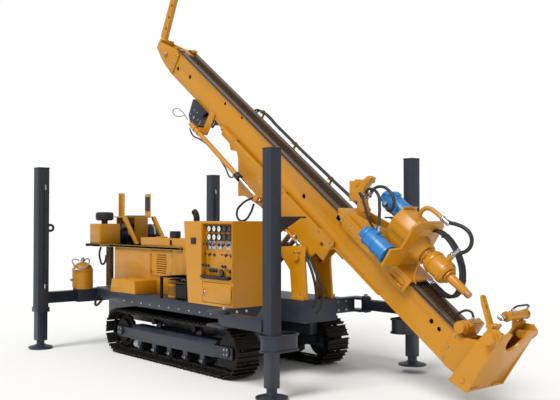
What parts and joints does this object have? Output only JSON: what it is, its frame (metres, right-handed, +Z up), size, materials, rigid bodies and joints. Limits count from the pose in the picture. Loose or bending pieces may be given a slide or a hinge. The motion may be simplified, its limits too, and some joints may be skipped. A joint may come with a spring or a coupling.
{
  "type": "crawler drilling rig",
  "caption": "Track-mounted water-well drilling rig: sliding tilted mast on a lift carriage, rotary head, breakout table, winch, jib, control console and jack legs.",
  "frame": {"origin": "on the ground, at the middle of the bounding box's underside; the tracks' middle lies 0.93 m behind it", "axes": "+X to the drilling end, where the mast foot hangs; +Y to the rig's left; +Z up"},
  "size_m": [6.0492, 2.9098, 4.6697],
  "materials": {
    "yellow_paint": "glossy machine enamel",
    "navy_paint": "satin machine enamel",
    "black_paint": "satin",
    "track_steel": "worn",
    "blue_paint": "glossy",
    "bright_steel": "polished",
    "greased_steel": "greasy",
    "hose_rubber": "matt"
  },
  "bodies": {
    "chassis": {"track_left": "track_steel", "track_right": "track_steel", "track_frame_left": "navy_paint", "track_frame_right": "navy_paint", "track_wheels_left": "track_steel", "track_wheels_right": "track_steel", "chassis_frame": "navy_paint", "deck": "navy_paint", "rear_sleeve": "navy_paint", "console_housing": "yellow_paint", "console_panel": "yellow_paint", "hood_body": "yellow_paint", "hood_roof": "yellow_paint", "hydraulic_tank": "yellow_paint", "engine_block": "black_paint", "air_cleaner": "navy_paint", "intake_box": "yellow_paint", "exhaust_pipe": "black_paint", "mast_cradle": "yellow_paint", "step_box": "yellow_paint", "battery_shelf": "black_paint", "lubricator_tank": "yellow_paint", "support_ears": "yellow_paint"},
    "leg_front_left": {"leg_front_left": "navy_paint"},
    "jack_front_left": {"jack_front_left": "navy_paint"},
    "leg_front_right": {"leg_front_right": "navy_paint"},
    "jack_front_right": {"jack_front_right": "navy_paint"},
    "leg_rear_left": {"leg_rear_left": "navy_paint"},
    "jack_rear_left": {"jack_rear_left": "navy_paint"},
    "leg_rear_right": {"leg_rear_right": "navy_paint"},
    "jack_rear_right": {"jack_rear_right": "navy_paint"},
    "console_door": {"console_door": "yellow_paint"},
    "hood_door": {"hood_door": "yellow_paint"},
    "lift_barrel": {"lift_barrels": "navy_paint"},
    "lift_rod": {"lift_rods": "bright_steel"},
    "carriage": {"mast_carriage": "yellow_paint", "slide_rod": "bright_steel"},
    "mast": {"mast_beam": "yellow_paint", "feed_chain": "greased_steel", "mast_head": "yellow_paint", "slide_barrel": "yellow_paint", "winch_frame": "yellow_paint", "foot_table": "yellow_paint", "clamp_cylinders": "yellow_paint", "feed_motor": "yellow_paint"},
    "jib": {"jib_arm": "yellow_paint"},
    "winch_drum": {"winch_drum": "bright_steel"},
    "head": {"head_sledge": "yellow_paint", "head_gearbox": "yellow_paint", "head_motors": "blue_paint", "swivel_hose": "hose_rubber"},
    "spindle": {"spindle": "yellow_paint"}
  },
  "joints": [
    {"name": "mast_raise", "type": "hinge", "parent": "chassis", "child": "carriage", "pos_m": [0.58302, 0, 1.21373], "axis": [0, 1, 0], "range_deg": [-34.5, 54]},
    {"name": "lift_pivot", "type": "hinge", "parent": "chassis", "child": "lift_barrel", "pos_m": [-0.43, 0, 0.8], "axis": [0, 1, 0], "range_deg": [-3.1, 4.86]},
    {"name": "lift_extend", "type": "slide", "parent": "lift_barrel", "child": "lift_rod", "axis": [0.7714, 0, 0.6363], "range_m": [-0.1747, 0.2734]},
    {"name": "mast_slide", "type": "slide", "parent": "carriage", "child": "mast", "axis": [-0.809, 0, 0.5878], "range_m": [0, 0.6]},
    {"name": "head_feed", "type": "slide", "parent": "mast", "child": "head", "axis": [-0.809, 0, 0.5878], "range_m": [0, 3.1]},
    {"name": "spindle_spin", "type": "hinge", "parent": "head", "child": "spindle", "pos_m": [2.41821, 0, 1.01757], "axis": [-0.809, 0, 0.5878], "continuous": true},
    {"name": "drum_turn", "type": "hinge", "parent": "mast", "child": "winch_drum", "pos_m": [-1.29621, 0, 2.79538], "axis": [0, 1, 0], "continuous": true},
    {"name": "jib_swing", "type": "hinge", "parent": "mast", "child": "jib", "pos_m": [-2.12309, 0, 3.83494], "axis": [-0.809, 0, 0.5878], "range_deg": [-90, 90]},
    {"name": "front_left_swing", "type": "hinge", "parent": "chassis", "child": "leg_front_left", "pos_m": [0.43, 0.98, 0.65], "axis": [0, 0, 1], "range_deg": [0, 60]},
    {"name": "front_right_swing", "type": "hinge", "parent": "chassis", "child": "leg_front_right", "pos_m": [0.43, -0.98, 0.65], "axis": [0, 0, -1], "range_deg": [0, 60]},
    {"name": "rear_left_beam", "type": "slide", "parent": "chassis", "child": "leg_rear_left", "axis": [0, 1, 0], "range_m": [-0.3, 0.1]},
    {"name": "rear_right_beam", "type": "slide", "parent": "chassis", "child": "leg_rear_right", "axis": [0, -1, 0], "range_m": [-0.3, 0.1]},
    {"name": "jack_front_left_lift", "type": "slide", "parent": "leg_front_left", "child": "jack_front_left", "axis": [0, 0, -1], "range_m": [-0.25, 1]},
    {"name": "jack_front_right_lift", "type": "slide", "parent": "leg_front_right", "child": "jack_front_right", "axis": [0, 0, -1], "range_m": [-0.25, 1]},
    {"name": "jack_rear_left_lift", "type": "slide", "parent": "leg_rear_left", "child": "jack_rear_left", "axis": [0, 0, -1], "range_m": [-0.25, 1]},
    {"name": "jack_rear_right_lift", "type": "slide", "parent": "leg_rear_right", "child": "jack_rear_right", "axis": [0, 0, -1], "range_m": [-0.25, 1]},
    {"name": "console_door_hinge", "type": "hinge", "parent": "chassis", "child": "console_door", "pos_m": [0.31, -0.813, 0.85], "axis": [0, 0, 1], "range_deg": [0, 110]},
    {"name": "hood_door_hinge", "type": "hinge", "parent": "chassis", "child": "hood_door", "pos_m": [-1.65, -0.509, 1.07], "axis": [0, 0, -1], "range_deg": [0, 100]}
  ],
  "couplings": [
    {"joint": "lift_pivot", "follows": "mast_raise", "ratio": 0.09},
    {"joint": "lift_extend", "follows": "mast_raise", "m_per_rad": 0.29}
  ]
}
